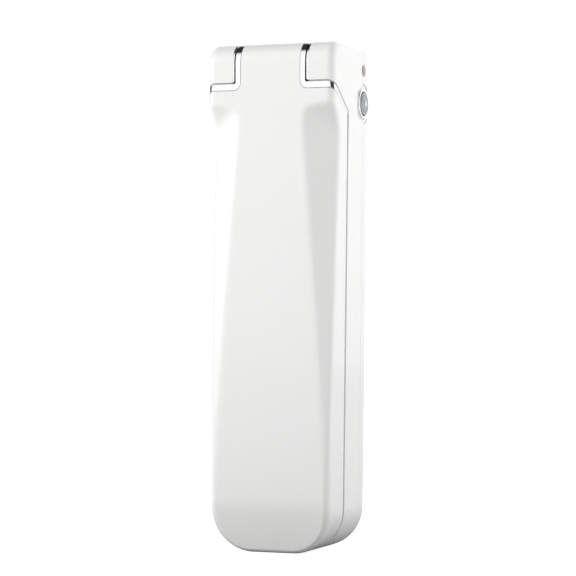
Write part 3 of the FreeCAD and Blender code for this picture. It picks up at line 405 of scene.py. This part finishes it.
# ------------------------------------------------------------ arm, outside
# The arm's cover in the same glossy white ABS. Its finger face has a long middle plateau that
# widens downwards, a scooped facet down each side of it, and a toe that rolls back at the end.
face_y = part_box("arm_cover")[0][1] + 0.00002
case_height = 0.15
facet_end_z, waist_z, scoop_z = 0.012, 0.066, 0.124
knuckle_ridge = 0.0103
scoop_top_z, scoop_top_slant, scoop_end_slope = 0.1303, 0.22, 0.72
toe_z, toe_slope, toe_curl = 0.0138, 0.157, 2.0
corner_radius = 0.0024
skin_low_z, skin_height = -0.002, 0.154


def between(value, stops):
    """Straight-line interpolation through (height, size) stops, lowest first."""
    for (low, low_size), (high, high_size) in zip(stops, stops[1:]):
        if value <= high:
            share = max(0.0, (value - low)/(high - low))
            return low_size + (high_size - low_size)*share
    return stops[-1][1]


def soft_least(first, second, reach):
    """The lesser of two values, rounded over where they cross."""
    gap = max(reach - abs(first - second), 0.0)
    return min(first, second) - gap*gap/(4*reach)


def arm_half_width(z):
    return between(z, ((0.0, 0.0187), (case_height, 0.02))) - 0.000015


def plateau_half(z):
    return between(z, ((0.0, 0.0186), (facet_end_z, 0.0180), (waist_z, 0.01475),
                       (scoop_z, knuckle_ridge), (case_height, knuckle_ridge)))


def face_depth(across, z):
    """How far the finger face lies behind its plateau, at a distance from the middle."""
    slope = between(z, ((0.0, 0.05), (facet_end_z, 0.3), (waist_z, 0.476), (scoop_z, 0.615)))
    top = scoop_top_z + scoop_top_slant*(across - knuckle_ridge)
    scooped = soft_least(slope*(across - plateau_half(z)), scoop_end_slope*(top - z), 0.002)
    facet = -soft_least(0.0, -1.02*scooped, 0.0005)
    fall = max(toe_z - z, 0.0)
    toe = -soft_least(0.0, -(toe_slope*(toe_z - z) + toe_curl*fall*fall), 0.00035)
    return facet + toe


bpy.ops.object.select_all(action="DESELECT")
bpy.ops.mesh.primitive_grid_add(x_subdivisions=96, y_subdivisions=190, size=2, location=(0, 0, 0))
skin = bpy.context.object
skin.name = "arm_cover_face"
for vertex in skin.data.vertices:
    side = 1 if vertex.co.x >= 0 else -1
    share = abs(vertex.co.x)
    z = skin_low_z + skin_height*(vertex.co.y + 1)/2
    width = arm_half_width(z)
    tilt = math.atan2(face_depth(width, z) - face_depth(width - 0.001, z), 0.001)
    run = corner_radius*math.tan((math.pi/2 - tilt)/2)
    start = width - run*math.cos(tilt)
    ridge = min(plateau_half(z), start - 0.001)
    if share < 0.4:
        across, y = ridge*share/0.4, None
    elif share < 0.8:
        across, y = ridge + (start - ridge)*(share - 0.4)/0.4, None
    else:
        turn = (share - 0.8)/0.2
        edge = face_depth(width, z)
        first = (start, face_depth(start, z))
        across = (1 - turn)**2*first[0] + 2*turn*(1 - turn)*width + turn**2*width
        y = (1 - turn)**2*first[1] + 2*turn*(1 - turn)*edge + turn**2*(edge + run)
    if y is None:
        y = face_depth(across, z)
    vertex.co = (side*across, face_y + y, z)
bpy.ops.object.mode_set(mode="EDIT")
bpy.ops.mesh.select_all(action="SELECT")
bpy.ops.mesh.extrude_region_move(TRANSFORM_OT_translate={"value": (0, 0.03, 0)})
bpy.ops.mesh.select_all(action="SELECT")
bpy.ops.mesh.normals_make_consistent(inside=False)
bpy.ops.object.mode_set(mode="OBJECT")


cover = merged_copy("arm_cover_soft", "arm_cover")
apply_modifier(cover, "BOOLEAN", operation="INTERSECT", object=skin, solver="EXACT")
bpy.data.objects.remove(skin)
for node in ("hinge_trim_left", "hinge_trim_right"):
    cutter = merged_copy(node + "_cutter", node)
    bpy.ops.object.mode_set(mode="EDIT")
    bpy.ops.mesh.select_all(action="SELECT")
    bpy.ops.transform.shrink_fatten(value=0.00013, use_even_offset=True)
    bpy.ops.object.mode_set(mode="OBJECT")
    apply_modifier(cover, "BOOLEAN", operation="DIFFERENCE", object=cutter, solver="EXACT")
    bpy.data.objects.remove(cutter)
# The rim is cut back to open the seam, up to the shoulder and clear of the knuckle.
seam_y, seam_top_z = -0.0044, 0.1298
cut_depth, cut_height = 0.02, 0.1363
bpy.ops.object.select_all(action="DESELECT")
bpy.ops.mesh.primitive_cube_add(size=1, scale=(0.06, cut_depth, cut_height),
                                location=(0, seam_y + cut_depth/2, seam_top_z - cut_height/2))
rim_cutter = bpy.context.object
apply_modifier(cover, "BOOLEAN", operation="DIFFERENCE", object=rim_cutter, solver="EXACT")
bpy.data.objects.remove(rim_cutter)
smooth(cover)
stand_in(cover, "arm_cover", "arm", white_abs)

# ------------------------------------------------------------ floor, light and camera
# A plain pale sweep whose colour is painted darker close to the sealer, a painted shade that cuts
# the light it returns there, a large soft light from the front left, another from the right and
# rear, and an even room that dims overhead.
bpy.ops.object.select_all(action="DESELECT")
bpy.ops.mesh.primitive_plane_add(size=4.0, location=(0, 0, 0))
floor = bpy.context.object
floor.name = "floor"
pale = bpy.data.materials.new("pale_floor_painted_shade")
pale.use_nodes = True
pale_tree = pale.node_tree
pale_place = pale_tree.nodes.new("ShaderNodeTexCoord").outputs["Object"]
painted_shade_distance = pale_tree.nodes.new("ShaderNodeVectorMath")
painted_shade_distance.operation = "LENGTH"
link(pale_tree, pale_place, painted_shade_distance.inputs[0])
# Painted shade: the floor's colour is dark grey close to the sealer and pale further out, so it
# returns less light to the lower arm.
link(pale_tree, blend_colour(pale_tree, ramp(pale_tree, painted_shade_distance.outputs["Value"], 0.03, 0.16),
                             (0.3, 0.3, 0.3, 1), (0.8, 0.8, 0.8, 1)),
     pale_tree.nodes["Principled BSDF"].inputs["Base Color"])
pale_shader = pale_tree.nodes["Principled BSDF"]
pale_shader.inputs["Roughness"].default_value = 0.9
pale_shader.inputs["Specular IOR Level"].default_value = 0.0
pale_shader.inputs["Emission Color"].default_value = (1, 1, 1, 1)
link(pale_tree, ramp(pale_tree, pale_tree.nodes.new("ShaderNodeLightPath").outputs["Is Camera Ray"],
                     0.0, 1.0, 0.0, 0.92), pale_shader.inputs["Emission Strength"])
floor.data.materials.append(pale)


def soft_light(name, azimuth, elevation, distance, width, height, power, aim=(0, 0, 0.08)):
    """A rectangular soft box at a bearing round the sealer, facing it."""
    bearing, rise = math.radians(azimuth), math.radians(elevation)
    back = Vector((math.sin(bearing)*math.cos(rise), -math.cos(bearing)*math.cos(rise),
                   math.sin(rise)))
    data = bpy.data.lights.new(name, "AREA")
    data.shape = "RECTANGLE"
    data.size = width
    data.size_y = height
    data.energy = power
    lamp = bpy.data.objects.new(name, data)
    scene.collection.objects.link(lamp)
    lamp.location = Vector(aim) + back*distance
    lamp.rotation_mode = "QUATERNION"
    lamp.rotation_quaternion = back.to_track_quat("Z", "Y")
    lamp.visible_glossy = False


soft_light("key_left", -62, 14, 0.9, 0.4, 0.5, 4.4)
soft_light("side_right", 112, 6, 0.9, 0.3, 0.3, 2.8, (0, 0, 0.02))

world = bpy.data.worlds.new("studio")
world.use_nodes = True
scene.world = world
room = world.node_tree
room.nodes["Background"].inputs["Color"].default_value = (1, 1, 1, 1)
paths = room.nodes.new("ShaderNodeLightPath")
facing = room.nodes.new("ShaderNodeVectorMath")
facing.operation = "DOT_PRODUCT"
facing.inputs[1].default_value = (-0.35, -0.94, 0.0)
link(room, room.nodes.new("ShaderNodeTexCoord").outputs["Generated"], facing.inputs[0])
across_room = times(room, facing.outputs["Value"], 0.0, "ABSOLUTE")
mirrored = ramp(room, across_room, 0.35, 0.62, 0.03, 1.15)
height = room.nodes.new("ShaderNodeSeparateXYZ")
link(room, facing.inputs[0].links[0].from_socket, height.inputs[0])
overhead = ramp(room, height.outputs["Z"], 0.0, 0.9, 1.3, 0.5)
diffuse = times(room, 1.0, paths.outputs["Is Glossy Ray"], "SUBTRACT")
fill = times(room, times(room, mirrored, paths.outputs["Is Glossy Ray"]),
             times(room, diffuse, overhead), "ADD")
seen = times(room, paths.outputs["Is Camera Ray"], 1.1)
link(room, times(room, fill, seen, "MAXIMUM"), room.nodes["Background"].inputs["Strength"])
scene.view_settings.view_transform = "Standard"

camera_data = bpy.data.cameras.new("camera")
camera_data.lens = 135.5
camera_data.sensor_width = 36.0
camera_data.clip_start = 0.01
camera = bpy.data.objects.new("camera", camera_data)
scene.collection.objects.link(camera)
bearing, rise, roll = math.radians(20.73), math.radians(-0.9), math.radians(0.22)
back = Vector((math.sin(bearing)*math.cos(rise), -math.cos(bearing)*math.cos(rise),
               math.sin(rise)))
camera_aim, camera_distance = Vector((-0.00037, 0, 0.07795)), 0.65
camera.location = camera_aim + back*camera_distance
camera.rotation_mode = "QUATERNION"
camera.rotation_quaternion = back.to_track_quat("Z", "Y") @ Quaternion((0, 0, 1), roll)
scene.camera = camera
